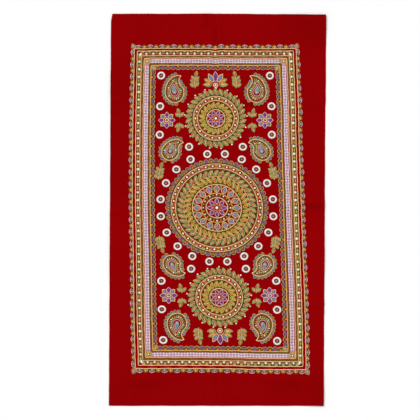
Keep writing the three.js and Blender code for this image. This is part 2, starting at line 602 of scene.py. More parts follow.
def join_rings(colour, rings, closed):
    """Faces between neighbouring rings, and one at each end of an open thread."""
    count, sides = rings.shape[:2]
    here = np.arange(count if closed else count - 1)[:, None] * sides
    there = (here + sides) % (count * sides)
    side = np.arange(sides)
    after = (side + 1) % sides
    quads = np.stack([here + side, there + side, there + after, here + after], axis=-1)
    start, end = range(sides), range(count * sides - 1, (count - 1) * sides - 1, -1)
    pour(colour, rings.reshape(-1, 3), quads.reshape(-1, 4), [] if closed else [start, end])


print("a thread 1 mm wide stands", PASTE_HEIGHT, "mm high")

# %% Lay a thread
ROUND_END = 0.35  # of a thread's width, over which its end is rounded
END_REACHES, END_WIDTHS = (0, ROUND_END, 0.8), (0.35, 0.88, 1)  # shares of its width
WANDER_LENGTH = 23.0
UNEVENNESS, UNEVEN_LENGTH = 0.07, 9.0  # how much its width changes, and over what length


def thread(colour, path, width=1.0, closed=False, swell=None, layer=0, step=1.6, wander=0.1):
    """Lays one thread of paste along a path on the plan. swell is the width's shape from
    end to end, and layer is 1 for a thread on top of others, or below 0 for one under them."""
    points, stops = even_steps(path, step)
    if closed:
        points, stops = points[:-1], stops[:-1]
    elif swell is None:
        points, stops = with_end_steps(points, stops, ROUND_END * width)
    if not closed:
        sway = wander * slow_noise(stops, WANDER_LENGTH)
        points = points + left_of(points, closed) * sway[:, None]
    points = on_cloth(points)
    aside = left_of(points, closed)

    widths = width * (1 + UNEVENNESS * slow_noise(stops, UNEVEN_LENGTH))
    if swell is not None:
        widths = widths * np.interp(stops / stops[-1], np.linspace(0, 1, len(swell)), swell)
    elif not closed:
        from_ends = np.minimum(stops, stops[-1] - stops)
        widths = widths * np.interp(from_ends / width, END_REACHES, END_WIDTHS)
    heights = np.minimum(widths * PASTE_HEIGHT, MOST_HEIGHT)
    foot = paste_foot(points[:, 0], points[:, 1], layer)

    rings = np.empty((len(points), len(SECTION), 3))
    for k, (across_share, up_share) in enumerate(SECTION):
        rings[:, k, :2] = points + aside * (across_share * widths / 2)[:, None]
        rings[:, k, 2] = foot + up_share * heights
    join_rings(colour, rings, closed)


def dab(colour, path, width, swell=None, layer=0, step=1.2):
    """A short stroke, too quick to wander."""
    thread(colour, path, width, swell=swell, layer=layer, step=step, wander=0)


print("the pots hold", sum(pot["count"] for pot in pots.values()), "points so far")

# %% [markdown]
# ### Dropping a bead
# A bead is a drop let fall from the stylus, which settles into a low dome. Half of a UV
# sphere would do, but it is crowded with faces round its pole. Three rings of twelve
# points and one on top look as round from here, with a few dozen faces for each of the
# many hundred beads.

# %% Drop a bead
BEAD_SIDES = 12
BEAD_LEVELS = [(1.0, 0.0), (0.92, 0.45), (0.55, 0.88)]  # shares of its radius and height
BEAD_HEIGHT = 0.75  # of its radius
MOST_BEAD_HEIGHT = 0.85
BEAD_SLIP = 0.06  # how far a bead lands from where it was meant


def bead(colour, centre, radius, layer=0):
    """A round drop of paste, with a fan of faces on top and one face below."""
    turns = np.linspace(0, 2 * math.pi, BEAD_SIDES, endpoint=False) + hand.uniform(0, 1)
    x, y = on_cloth(np.array([centre], dtype=float))[0] + hand.normal(0, BEAD_SLIP, 2)
    radius = radius * hand.uniform(*ABOUT_ONE)
    height = min(radius * BEAD_HEIGHT, MOST_BEAD_HEIGHT)
    foot = float(paste_foot(x, y, layer))
    points = [
        (x + reach * radius * math.cos(t), y + reach * radius * math.sin(t), foot + up * height)
        for reach, up in BEAD_LEVELS
        for t in turns
    ]
    points.append((x, y, foot + height))

    level = BEAD_SIDES * np.arange(len(BEAD_LEVELS) - 1)[:, None]
    here = level + np.arange(BEAD_SIDES)
    after = level + (np.arange(BEAD_SIDES) + 1) % BEAD_SIDES
    quads = np.stack([here, after, after + BEAD_SIDES, here + BEAD_SIDES], axis=-1)
    top = len(points) - 1
    rim = top - BEAD_SIDES
    fan = [(rim + k, rim + (k + 1) % BEAD_SIDES, top) for k in range(BEAD_SIDES)]
    underside = range(BEAD_SIDES - 1, -1, -1)
    pour(colour, np.array(points), quads.reshape(-1, 4), [*fan, underside])


print("a bead has", BEAD_SIDES, "sides")

# %% [markdown]
# ### Leaves, petals and lobes
# These strokes make most of the drawing. A leaf is a thin outline with one fat stroke
# inside that swells and thins. A petal is a leaf that points out from the middle of a
# flower. A lobe is a few arches, one inside the other, that stand on a line round a short
# heart. Each is drawn once here and then repeated.

# %% Leaf and petal
LEAF_SWELL = [0.15, 0.62, 0.88, 1.0, 0.93, 0.75, 0.5, 0.12]
LEAF_LINE = 0.95
LEAF_GAP = 0.3  # bare cloth left between the outline and the stroke inside


def heading(turn):
    """The unit direction at an angle, or one for each of a row of angles."""
    return np.stack([np.cos(turn), np.sin(turn)], axis=-1)


def leaf_outline(base, tip, width):
    """A closed outline from base to tip and back, widest before the middle."""
    axis = tip - base
    s = np.linspace(0, 1, 21)
    half = width / 2 * np.sin(math.pi * s**0.85)
    rib = base + s[:, None] * axis
    aside = half[:, None] * left(axis) / np.hypot(*axis)
    return np.concatenate([rib + aside, (rib - aside)[::-1]])


def leaf(outline, fill, base, tip, width, line=LEAF_LINE):
    """An outline with a swelling stroke inside. An orange leaf turns yellow to its tip."""
    thread(outline, leaf_outline(base, tip, width), line, closed=True, step=1.25)
    inner = width - line * 2.1 - LEAF_GAP
    if fill:
        dab(fill, [mix(base, tip, 0.15), mix(base, tip, 0.85)], inner, LEAF_SWELL)
    if fill == "orange":
        dab("yellow", [mix(base, tip, 0.5), mix(base, tip, 0.84)], inner * 0.5, layer=1)


def petal(outline, fill, centre, turn, inner, outer, width, line=LEAF_LINE, lean=0.0):
    """A leaf from one radius to another. lean turns its tip sideways, in radians."""
    base, tip = centre + inner * heading(turn), centre + outer * heading(turn + lean)
    leaf(outline, fill, base, tip, width, line)


print("leaf and petal are ready")

# %% Ring
def ring(colour, centre, radius, width):
    """A closed round line, a little uneven as a line drawn by hand is."""
    count = max(16, int(2 * math.pi * radius / 1.4))
    t = np.linspace(0, 2 * math.pi, count + 1)
    oval = 0.12 * np.sin(2 * t + hand.uniform(0, 6))
    uneven = radius + oval + 0.08 * np.sin(5 * t + hand.uniform(0, 6))
    circle = centre + uneven[:, None] * heading(t)
    thread(colour, circle, width, closed=True, step=min(1.2, 2 * math.pi * radius / 16))


def round_lines(centre, rows):
    """Rings round one centre. A row has a ring's colour, radius and width."""
    for colour, radius, width in rows:
        ring(colour, centre, radius, width)


print("rings are ready")

# %% Kinds of lobe
# An arch has a colour, its share of the lobe's size and a width. A heart has a colour, a
# width and the share of the lobe's height that it reaches.
LOBES = {
    "water": {
        "arches": [("lilac", 0.95, 0.9), ("olive", 0.74, 0.5), ("teal", 0.5, 1.0)],
        "heart": ("teal", 2.4, 0.88),
        "base": None,
        "width": 1.12,
    },
    "sun": {
        "arches": [("olive", 0.92, 0.9), ("lime", 0.64, 0.9)],
        "heart": ("yellow", 2.2, 0.64),
        "base": "peach",
        "width": 0.9,
    },
    "berry": {
        "arches": [("teal", 0.9, 1.0), ("blue", 0.5, 1.0)],
        "heart": ("purple", 2.2, 0.38),
        "base": None,
        "width": 1.0,
    },
    "flame": {
        "arches": [("green", 0.9, 1.0), ("olive", 0.58, 0.9)],
        "heart": ("orange", 2.8, 0.46),
        "base": None,
        "width": 1.0,
    },
}
HEART_SWELL = [0.5, 0.94, 1.0, 0.97, 0.8, 0.3]
print("kinds of lobe:", list(LOBES))

# %% Draw a lobe
def arch(foot, turn, half_width, height, squareness):
    """A half oval from foot to foot. Above 2, squareness fills out its shoulders."""
    t = np.linspace(0, math.pi, 15)
    along = np.sign(np.cos(t)) * np.abs(np.cos(t)) ** (2 / squareness) * half_width
    up = np.sin(t) ** (2 / squareness) * height
    return foot + np.outer(up, heading(turn)) + np.outer(along, heading(turn + math.pi / 2))


def lobe(kind, foot, turn, half_width, height, squareness=2.4):
    """A lobe that stands on a line at foot and faces along turn."""
    shape = LOBES[kind]
    half_width = half_width * shape["width"]
    for colour, share, width in shape["arches"]:
        path = arch(foot, turn, half_width * share, height * share, squareness)
        thread(colour, path, width, step=min(1.2, 0.26 * half_width), wander=0.05)
    colour, width, reach = shape["heart"]
    dab(colour, [foot, foot + reach * height * heading(turn)], width, HEART_SWELL, step=0.6)
    if shape["base"]:
        bead(shape["base"], foot + 0.17 * height * heading(turn), 1.0, layer=1)


print("arch and lobe are ready")

# %% [markdown]
# ## The border
# From the outside in: a row of small lobes, a cream line, a bare gap, a band of white
# beads between two cream lines, an olive and a peach line, a lilac chain, an olive and a
# yellow line, and a second row of lobes that faces inwards. Each side is drawn from corner
# to corner, with one rule for all four, so the border is a table of insets and not a list
# of points.

# %% Sides of the border
def border_side(name, ahead, tip):
    """One side, drawn clockwise, so inward is a quarter turn to the right of ahead. tip is
    how far the leaf at its first corner reaches."""
    ahead = np.array(ahead)
    inward = np.array([ahead[1], -ahead[0]])
    return {
        "name": name,
        "start": -(ahead + inward) * PLAN_HALF,
        "ahead": ahead,
        "inward": inward,
        "length": 2 * float(np.abs(ahead) @ PLAN_HALF),
        "is_long": ahead[0] == 0,
        "tip": np.array(tip),
    }


SIDES = [
    border_side("top", (1, 0), (-4.4, 8.6)),
    border_side("right", (0, -1), (3.0, 8.4)),
    border_side("bottom", (-1, 0), (4.6, -7.6)),
    border_side("left", (0, 1), (-4.8, -7.6)),
]


def beside(side, run, inset):
    """A plan point at a run along a side and an inset from its outer tips."""
    return side["start"] + side["ahead"] * run + side["inward"] * inset


def spread(side, from_end, pitch):
    """Even runs along a side, clear of its ends, and the pitch they come to."""
    usable = side["length"] - 2 * from_end
    count = max(1, round(usable / pitch))
    return [from_end + (k + 0.5) * usable / count for k in range(count)], usable / count


for side in SIDES:
    print(side["name"], "side,", side["length"], "mm")

# %% Lines of the border
LINES = [  # colour, width, inset at the top, right, bottom and left
    ("cream", 1.0, 6.5, 6.5, 6.5, 6.35),
    ("cream", 1.1, 11.5, 11.5, 11.2, 11.4),
    ("cream", 0.95, 18.4, 18.2, 18.2, 18.2),
    ("olive", 2.4, 20.2, 20.1, 20.3, 20.3),
    ("peach", 1.7, 22.5, 22.6, 22.9, 22.9),
    ("olive", 1.8, 32.3, 32.3, 32.3, 32.3),
    ("yellow", 1.6, 34.4, 34.4, 34.4, 34.4),
]


def long_line(colour, side, start, end, inset, width, wander):
    """A line along a side, from one run to another."""
    ends = [beside(side, start, inset), beside(side, end, inset)]
    thread(colour, ends, width, step=3.2, wander=wander)


for k, side in enumerate(SIDES):
    for colour, width, *insets in LINES:
        start, end = insets[k - 1], side["length"] - insets[(k + 1) % 4]
        long_line(colour, side, start, end, insets[k], width, 0.3)
print("border lines:", len(SIDES) * len(LINES))

# %% [markdown]
# ### Rows of lobes and beads
# A maker spaces a row by eye, so that it comes out even at both corners, and no two lobes
# are quite alike. An Array modifier would repeat one shape at one pitch. Here each row
# works out how many steps fit on its side, and then every lobe and bead is drawn anew.

# %% Rows of lobes
CORNER_ROOM = 2.2  # kept free for the leaf at each outer corner
LONG_SIDE_SHARE = 0.93  # outer lobes stand this much lower along the long sides
BEAD_OFF_LINE, ROW_BEAD = 1.6, 1.4  # a brown bead's distance from the line, and its radius


def lobe_row(base_inset, height, facing, kinds, pitches, squareness):
    """Lobes that stand on a line all round, with a brown bead between each two. facing is
    -1 outwards and 1 inwards. Short and long sides have their own pitches."""
    for side in SIDES:
        from_end = base_inset + (height if facing > 0 else CORNER_ROOM)
        runs, pitch = spread(side, from_end, pitches[1] if side["is_long"] else pitches[0])
        turn = math.atan2(side["inward"][1], side["inward"][0]) + (0 if facing > 0 else math.pi)
        tallest = height * (LONG_SIDE_SHARE if side["is_long"] and facing < 0 else 1.0)
        for k, run in enumerate(runs):
            foot = beside(side, run, base_inset)
            tall = tallest * hand.uniform(*ABOUT_ONE)
            lobe(kinds[k % len(kinds)], foot, turn, pitch / 2, tall, squareness)
            if k < len(runs) - 1:
                place = beside(side, run + pitch / 2, base_inset + BEAD_OFF_LINE * facing)
                bead("brown", place, ROW_BEAD)


lobe_row(6.0, 5.7, -1, ["water", "sun"], (9.8, 9.95), 2.2)
lobe_row(35.2, 6.6, 1, ["flame", "berry"], (8.1, 8.1), 3.2)
print("rows of lobes laid")

# %% Leaves at the corners
# An outer leaf is three leaves in one. A row has a colour, a fill, its share of the size
# and the width of its line.
CORNER_LEAF = [
    ("peach", None, 1.0, 0.5),
    ("olive", None, 0.84, 0.9),
    ("green", "peach", 0.62, 1.1),
]
CORNER_LEAF_WIDTH = 7.4
OUTER_CORNER, STANDS_OUT = 6.8, 0.3  # its inset, and how far the leaf stands clear of it
NESTED = 0.45  # a smaller leaf starts this share of its missing length further out
INNER_CORNER, INNER_REACH, INNER_WIDTH = 35.6, 6.4, 5.0

for side in SIDES:
    tip = side["tip"]
    corner = beside(side, OUTER_CORNER, OUTER_CORNER) + STANDS_OUT * tip / np.hypot(*tip)
    for colour, fill, share, line in CORNER_LEAF:
        base = corner + NESTED * (1 - share) * tip
        leaf(colour, fill, base, base + share * tip, CORNER_LEAF_WIDTH * share, line)
    corner = beside(side, INNER_CORNER, INNER_CORNER)
    diagonal = side["ahead"] + side["inward"]
    leaf("green", "yellow", corner, corner + INNER_REACH * diagonal, INNER_WIDTH)
print("corner leaves laid")

# %% [markdown]
# ### The band of white beads
# Between two cream lines runs a string of white beads, each in a thin green ring, with
# short strokes in four rows from one bead to the next. One side could be drawn and turned
# round four times, but no hand draws four sides alike. So each side has its own inset,
# pitch and rows in a table, and one function draws them all.

# %% Rows of the band of white beads
# The strokes between two beads lie along the band, in rows. A row has a colour, an inset,
# half a stroke's length, and its width.
LONG_STROKES = [
    ("brown", 13.1, 2.6, 0.8),
    ("lime", 14.5, 2.8, 1.5),
    ("brown", 15.8, 2.6, 0.9),
    ("orange", 16.9, 2.8, 1.3),
]
TOP_STROKES = [
    ("lime", 13.0, 2.4, 1.4),
    ("brown", 14.4, 2.6, 0.9),
    ("orange", 15.7, 2.4, 1.4),
    ("brown", 17.0, 2.2, 0.8),
]
LOW_STROKES = [
    ("lime", 12.8, 2.4, 1.4),
    ("green", 14.3, 2.6, 1.3),
    ("orange", 15.8, 2.2, 1.2),
    ("brown", 17.1, 2.4, 0.8),
]
BEAD_ROWS = {
    "top": {"inset": 15.5, "pitch": 11.4, "bead": 1.6, "between": TOP_STROKES},
    "right": {"inset": 15.4, "pitch": 12.65, "bead": 1.85, "between": LONG_STROKES},
    "bottom": {"inset": 15.8, "pitch": 11.0, "bead": 1.6, "between": LOW_STROKES},
    "left": {"inset": 15.2, "pitch": 12.65, "bead": 1.75, "between": LONG_STROKES},
}
print("pitch of the beads:", {name: row["pitch"] for name, row in BEAD_ROWS.items()})

# %% Draw the band along a side
BAND_END = 15.1
BROWN_INSET = 14.0  # the small brown beads lie nearer to the outer line
CLEAR_OF_STROKES = 3.4  # from the middle of the strokes to a brown bead


def bead_band(side):
    """Strokes all along a side, with a ringed white bead between each two sets of them."""
    row = BEAD_ROWS[side["name"]]
    runs, pitch = spread(side, BAND_END, row["pitch"])
    for k, run in enumerate(runs):
        if k > 0:
            place = beside(side, run - pitch / 2, row["inset"])
            bead("white", place, row["bead"], layer=1)
            ring("green", place, row["bead"] + 0.6, 0.8)
            for brown_run in (run - pitch + CLEAR_OF_STROKES, run - CLEAR_OF_STROKES):
                bead("brown", beside(side, brown_run, BROWN_INSET), 1.0)
        for colour, inset, reach, width in row["between"]:
            dab(colour, [beside(side, run + sign * reach, inset) for sign in (-1, 1)], width)


print("beads and strokes are ready")

# %% Corners of the band
# Three slanting seeds. A row has a colour, the place beside the middle one, a share of its
# length, and a width.
CORNER_SEEDS = [("white", 0.0, 1.0, 3.0), ("green", -2.7, 0.7, 1.7), ("lime", 2.6, 0.5, 1.6)]
SEED_SWELL = [0.35, 0.8, 0.98, 1.0, 0.98, 0.8, 0.35]
SEED_HALF = (1.5, 2.7)  # half of the middle seed, across and up
SEEDS_INSET = 16.5
OUTER_BEAD_INSET = 13.5


def band_corner(side):
    """The seeds at a side's first corner, and a brown bead outside them."""
    bead("brown", beside(side, OUTER_BEAD_INSET, OUTER_BEAD_INSET), 1.2)
    middle = beside(side, SEEDS_INSET, SEEDS_INSET)
    half = (side["ahead"] - side["inward"]) * SEED_HALF
    for colour, aside, share, width in CORNER_SEEDS:
        ends = middle + np.outer([-share, share], half) + (aside, 0.0)
        dab(colour, ends, width, SEED_SWELL, step=0.6)


for side in SIDES:
    bead_band(side)
    band_corner(side)
print("white beads laid")

# %% [markdown]
# ### The lilac chain
# Three fat threads lie side by side, with purple ticks across the middle one and white
# beads down the outer two. The ticks and beads are laid on the threads while those are
# soft, so they are drawn one layer up. The chain stops at a small square in each corner.

# %% Lilac chain
TICK_PITCH = 4.7
TICK_ALONG, TICK_ACROSS = 0.9, 0.7  # half of a tick's reach each way, as it slants
BEAD_ASIDE = 2.3  # from the middle of the chain to its white beads
CHAIN_INSET = 27.5
STRAND_GAP = 2.1  # between the middles of its three strands
SQUARE_HALF = 4.3  # the squares at the corners, which the chain stops short of
CHAIN_END = CHAIN_INSET + SQUARE_HALF + 0.9

for side in SIDES:
    for inset in (CHAIN_INSET - STRAND_GAP, CHAIN_INSET, CHAIN_INSET + STRAND_GAP):
        long_line("lilac", side, CHAIN_END, side["length"] - CHAIN_END, inset, 2.0, 0.2)
    runs, pitch = spread(side, CHAIN_END, TICK_PITCH)
    for k, run in enumerate(runs):
        tick = [
            beside(side, run + TICK_ALONG * sign, CHAIN_INSET + TICK_ACROSS * sign)
            for sign in (-1, 1)
        ]
        dab("purple", tick, 1.25, layer=1)
        if k > 0:
            for aside in (-BEAD_ASIDE, BEAD_ASIDE):
                bead("white", beside(side, run - pitch / 2, CHAIN_INSET + aside), 0.95, layer=1)
print("lilac chain laid")

# %% Corner squares
def square_lines(colour, centre, half, width):
    """Four lines round a square, crossed over at its corners as they are drawn."""
    corners = centre + half * math.sqrt(2) * heading(math.pi * (0.25 + 0.5 * np.arange(5)))
    for k in range(4):
        thread(colour, corners[k : k + 2], width, wander=0.05)


QUARTERS = [(-1, -1), (-1, 1), (1, -1), (1, 1)]  # signs of a place in each quarter
for quarter in QUARTERS:
    middle = quarter * (PLAN_HALF - CHAIN_INSET)
    square_lines("yellow", middle, SQUARE_HALF, 1.3)
    square_lines("lime", middle, SQUARE_HALF - 1.5, 1.1)
    bead("white", middle, 1.5, layer=1)
print("corner squares laid")

# %% [markdown]
# ## The field
# The field inside the border holds round flowers built up in rings, with curled paisleys,
# sprigs and small blossoms between them. They are ordinary motifs of block prints, rugs
# and painted cloth. A round flower is a table of rings, from the middle outwards, and one
# function for each kind of row.

# %% Rows of a round flower
def even_turns(count, offset=0.0):
    """Even directions all round, the first of them turned by a share of a step."""
    return [2 * math.pi * (k + offset) / count for k in range(count)]


def petal_row(
    centre, count, inner, outer, width, outline, fills, lean=0.0, offset=0.0, line=LEAF_LINE
):
    """Petals or leaves round a centre, filled with each colour in turn."""
    for k, turn in enumerate(even_turns(count, offset)):
        petal(outline, fills[k % len(fills)], centre, turn, inner, outer, width, line, lean)


def vein_row(centre, count, inner, outer, lean):
    """Thin dark strokes between the petals of a row with the same count and lean."""
    for turn in even_turns(count, 0.5):
        ends = [centre + inner * heading(turn), centre + outer * heading(turn + lean)]
        dab("brown", ends, 1.7, layer=-0.5, step=1.6)


def bead_row(centre, count, radius, size, colours, offset=0.0, layer=0):
    """Beads of paste round a centre, in turn of the colours."""
    for k, turn in enumerate(even_turns(count, offset)):
        bead(colours[k % len(colours)], centre + radius * heading(turn), size, layer)


def lobe_ring(centre, count, radius, height, kinds):
    """Lobes that stand on a round line and face outwards."""
    half_width = 0.97 * math.pi * radius / count
    for k, turn in enumerate(even_turns(count)):
        lobe(kinds[k % len(kinds)], centre + radius * heading(turn), turn, half_width, height)


print("rows of a round flower are ready")

# %% Bent band and eyelet
BENT_STROKES = [(1.5, "lime", 1.5), (0.2, "brown", 0.8), (-1.3, "orange", 1.5)]
# The teal and brown rings inside the white one are drawn paste and partly painted shade under its
# raised inner edge.
EYELET_RINGS = [("lilac", 6.2, 0.7), ("white", 5.05, 2.1), ("teal", 3.3, 0.6), ("brown", 2.4, 1.0)]


def bead_band_ring(centre, radius, count):
    """The border's band of white beads, bent round."""
    bead_row(centre, count, radius, 1.6, ["white"])
    reach = 0.24 * 2 * math.pi / count
    for turn in even_turns(count, 0.5):
        for shift, colour, width in BENT_STROKES:
            bend = heading(np.linspace(turn - reach, turn + reach, 4))
            dab(colour, centre + (radius + shift) * bend, width)


def eyelet(centre):
    """A fat white ring edged in lilac, two thin rings inside it that are partly painted shade, and
    a bead.
    """
    round_lines(centre, EYELET_RINGS)
    bead("peach", centre, 1.05, layer=1)


print("an eyelet has", len(EYELET_RINGS), "rings")

# %% The large round flower
MIDDLE = (0.0, 0.0)
LARGE_RINGS = [
    ("orange", 5.2, 1.2),
    ("cream", 17.0, 1.15),
    ("olive", 18.5, 1.5),
    ("brown", 19.6, 0.8),
    ("brown", 23.1, 0.8),
    ("lime", 24.2, 1.2),
    ("cream", 38.6, 1.15),
    ("olive", 40.0, 1.5),
    ("brown", 41.2, 0.9),
    ("peach", 52.0, 0.9),
    ("brown", 62.9, 0.9),
    ("olive", 64.1, 1.5),
    ("cream", 65.5, 1.1),
    ("cream", 72.5, 1.1),
    ("brown", 73.6, 0.9),
    ("olive", 74.8, 1.4),
]
round_lines(MIDDLE, LARGE_RINGS)
bead("white", MIDDLE, 2.6)
petal_row(MIDDLE, 8, 6.6, 15.9, 5.8, "lilac", ["purple"])
bead_row(MIDDLE, 24, 21.5, 1.3, ["white", "orange"])
petal_row(MIDDLE, 16, 25.2, 37.6, 8.2, "cream", ["blue"])
bead_row(MIDDLE, 16, 28.2, 1.2, ["yellow"], layer=1)
petal_row(MIDDLE, 16, 31.6, 37.8, 2.6, "green", [None], offset=0.5)
petal_row(MIDDLE, 36, 41.8, 51.4, 5.6, "lime", ["orange", "yellow", "yellow"], 0.14, line=1.2)
vein_row(MIDDLE, 36, 42.4, 50.8, 0.14)
petal_row(MIDDLE, 42, 52.8, 62.4, 5.8, "green", ["yellow", "orange", "yellow"], -0.12, line=1.25)
vein_row(MIDDLE, 42, 53.6, 62.0, -0.12)
bead_band_ring(MIDDLE, 69.0, 38)
lobe_ring(MIDDLE, 60, 75.2, 6.6, ["flame", "berry"])
for turn in even_turns(20, 0.5):
    eyelet(90.0 * heading(turn))
print("large flower laid, with", len(LARGE_RINGS), "rings")

# %% The two smaller round flowers
SMALL_DISTANCE = 148.0  # from the middle of the cloth to theirs
SMALL_RINGS = [
    ("orange", 4.4, 1.1),
    ("cream", 14.6, 1.15),
    ("olive", 16.0, 1.4),
    ("brown", 17.1, 0.8),
    ("brown", 27.1, 0.8),
    ("olive", 28.2, 1.4),
    ("cream", 29.5, 1.1),
    ("cream", 36.3, 1.1),
    ("olive", 37.6, 1.4),
    ("brown", 38.7, 0.8),
]
for middle in ((0.0, -SMALL_DISTANCE), (0.0, SMALL_DISTANCE)):
    round_lines(middle, SMALL_RINGS)
    bead("white", middle, 2.2)
    petal_row(middle, 8, 5.6, 13.6, 5.2, "lilac", ["purple"], offset=0.5)
    petal_row(middle, 20, 17.4, 26.9, 5.4, "lime", ["yellow", "orange"], -0.2, line=1.2)
    vein_row(middle, 20, 18.4, 26.6, -0.2)
    bead_band_ring(middle, 32.9, 18)
    petal_row(middle, 34, 39.2, 48.8, 5.6, "green", ["orange", "yellow"], 0.14, line=1.25)
    vein_row(middle, 34, 39.6, 46.0, 0.14)
    bead_row(middle, 17, 50.2, 1.3, ["white"], offset=0.2)
print("two smaller flowers laid")

# %% [markdown]
# ### Paisleys
# A paisley is a drop whose tip curls over. Its shape comes from a curled spine and a
# width along it: wide at the head, and nothing at the tip. The lines inside are the same
# shape drawn smaller along the same spine, so they stay even all the way round.

# %% Outline of a paisley
HEAD = 0.36  # share of the spine at which a paisley is widest
FATNESS = 0.31  # half its width there, as a share of its length


def spine(head, turn, length, curl, s):
    """Places and sideways directions along a spine that curls more and more to its tip."""
    fine = np.linspace(0, 1, 80)
    last = len(fine) - 1
    turns = turn + curl * fine**2.2
    track = np.cumsum(heading(turns) * length / last, axis=0)
    track = track - track[int(HEAD * last)] + head
    return point_at(s, fine, track), left(heading(np.interp(s, fine, turns)))


def paisley_outline(head, turn, length, curl, share):
    """The paisley's outline, or a smaller one inside it along the same spine."""
    round_part = HEAD * (1 - np.cos(np.linspace(0, math.pi / 2, 16)))
    s = np.concatenate([round_part, np.linspace(HEAD, 1, 26)[1:]])
    head_half = np.sqrt(np.clip(1 - ((HEAD - s) / HEAD) ** 2, 0, 1))
    tail_half = 1 - np.clip((s - HEAD) / (1 - HEAD), 0, 1) ** 1.25
    half = FATNESS * length * share * np.where(s < HEAD, head_half, tail_half)
    place, aside = spine(head, turn, length, curl, HEAD + (s - HEAD) * share)
    return np.concatenate([place + aside * half[:, None], (place - aside * half[:, None])[::-1]])


print("a paisley 50 mm long is", 2 * FATNESS * 50, "mm wide")

# %% Lines, beads and fringe
# A line has a colour, its share of the outline's size, and a width.
PAISLEY_LINES = [
    ("cream", 1.0, 1.2),
    ("olive", 0.88, 1.6),
    ("brown", 0.8, 0.7),
    ("lime", 0.58, 1.1),
    ("brown", 0.51, 0.7),
    ("lilac", 0.42, 1.0),
]
PAISLEY_BEADS = ["white", "green", "orange", "green"]
BEAD_TRACK = 0.71  # share of the outline's size, where the beads lie
BEAD_SPACING, PAISLEY_BEAD = 3.5, 1.15  # between two beads, and a bead's radius
DROP_SWELL = [0.1, 0.66, 0.87, 0.97, 1.0, 0.95, 0.84, 0.7, 0.54, 0.36, 0.1]
FRINGE_PITCH = 5.2
FRINGE_GAP = 0.9  # from the outline to the feet of a lobe
FRINGE_LOBE = (2.6, 4.6)  # half of a lobe's width, and its height
BARE_TIP = 5.5  # no lobe stands this near to the tip


def beads_along(path, spacing, size, colours):
    """Beads at an even spacing along a path, in turn of the colours."""
    points, stops = even_steps(path, 0.5)
    count = int(stops[-1] / spacing)
    for k in range(count):
        place = point_at((k + 0.5) * stops[-1] / count, stops, points)
        bead(colours[k % len(colours)], place, size)


def fringe_of_lobes(outline, head, tip):
    """Lobes that stand on a paisley's outline and face outwards."""
    feet, _ = even_steps(outline, FRINGE_PITCH)
    for k in range(1, len(feet) - 1):
        if np.hypot(*(feet[k] - tip)) < BARE_TIP:
            continue
        edge = feet[k + 1] - feet[k - 1]
        out = left(edge) / np.hypot(*edge)
        out = out if np.dot(out, feet[k] - head) > 0 else -out
        kind = "flame" if k % 2 else "berry"
        lobe(kind, feet[k] + FRINGE_GAP * out, math.atan2(out[1], out[0]), *FRINGE_LOBE)


print("a paisley has", len(PAISLEY_LINES), "lines")

# %% Draw a whole paisley
def paisley(head, turn, length, curl):
    """Lines round a row of beads, with a drop at the head and a fringe of lobes."""
    for colour, share, width in PAISLEY_LINES:
        thread(colour, paisley_outline(head, turn, length, curl, share), width, closed=True)
    track = paisley_outline(head, turn, length, curl, BEAD_TRACK)
    beads_along(track, BEAD_SPACING, PAISLEY_BEAD, PAISLEY_BEADS)
    drop, _ = spine(head, turn, length, curl, np.linspace(HEAD - 0.09, HEAD + 0.2, 5))
    dab("teal", drop, 0.15 * length, DROP_SWELL, step=0.7)
    dab("blue", drop[1:4], 0.08 * length, DROP_SWELL, layer=1, step=0.7)
    bead("white", drop[1], 0.8, layer=2)
    tip = spine(head, turn, length, curl, np.array([1.0]))[0][0]
    fringe_of_lobes(paisley_outline(head, turn, length, curl, 1.0), head, tip)


for across_sign, along_sign in QUARTERS:
    upright = along_sign * math.pi / 2
    twist = -across_sign * along_sign
    paisley((across_sign * 73, along_sign * 94), upright - twist * 0.1, 44, -twist * 1.9)
    paisley((across_sign * 67, along_sign * 192), upright + twist * 0.5, 50, -twist * 1.9)
print("eight paisleys laid")

# %% [markdown]
# ### Lotus, blossoms and sprigs
# Small motifs close the gaps between the large ones, as a maker fills bare cloth last.
# One of each could be drawn and copied about, but paste laid by hand never comes out the
# same twice. So each is laid anew from the strokes above: petals for the lotus and the
# blossom, and leaves on a bent stem for the sprig.

# %% Lotus
# Petals of the lotus: how far they are spread, their reach and width, outline and fill.
LOTUS_PETALS = [
    (0.0, 23, 8.4, "lilac", "purple"),
    (0.56, 22, 7.4, "cream", "blue"),
    (1.06, 21, 6.8, "green", "orange"),
    (1.52, 20, 6.2, "green", "yellow"),
]


def lotus(foot, upright):
    """Petals fanned out to both sides of an upright one."""
    for opening, reach, width, outline, fill in LOTUS_PETALS:
        for sign in (-1, 1) if opening else (1,):
            petal(outline, fill, foot, upright + sign * opening, 6.4, reach, width, 1.0)
    ring("cream", foot, 3.6, 1.3)
    bead("white", foot, 1.8)


print("a lotus has", 2 * len(LOTUS_PETALS) - 1, "petals")

# %% Blossom and sprig
SPRIG_LEAF = 9.8  # length of a leaf at the foot of a sprig
TIP_LEAF = 9.0
SPRIG_LEAF_WIDTH = 4.8


def blossom(centre, radius):
    """Eight petals in two colours round a small ring."""
    for offset, outline, fill in ((0.0, "lilac", "purple"), (0.5, "cream", "blue")):
        petal_row(centre, 4, radius * 0.34, radius, radius * 0.5, outline, [fill], offset=offset)
    ring("white", centre, radius * 0.2, 1.1)
    bead("orange", centre, 0.9)


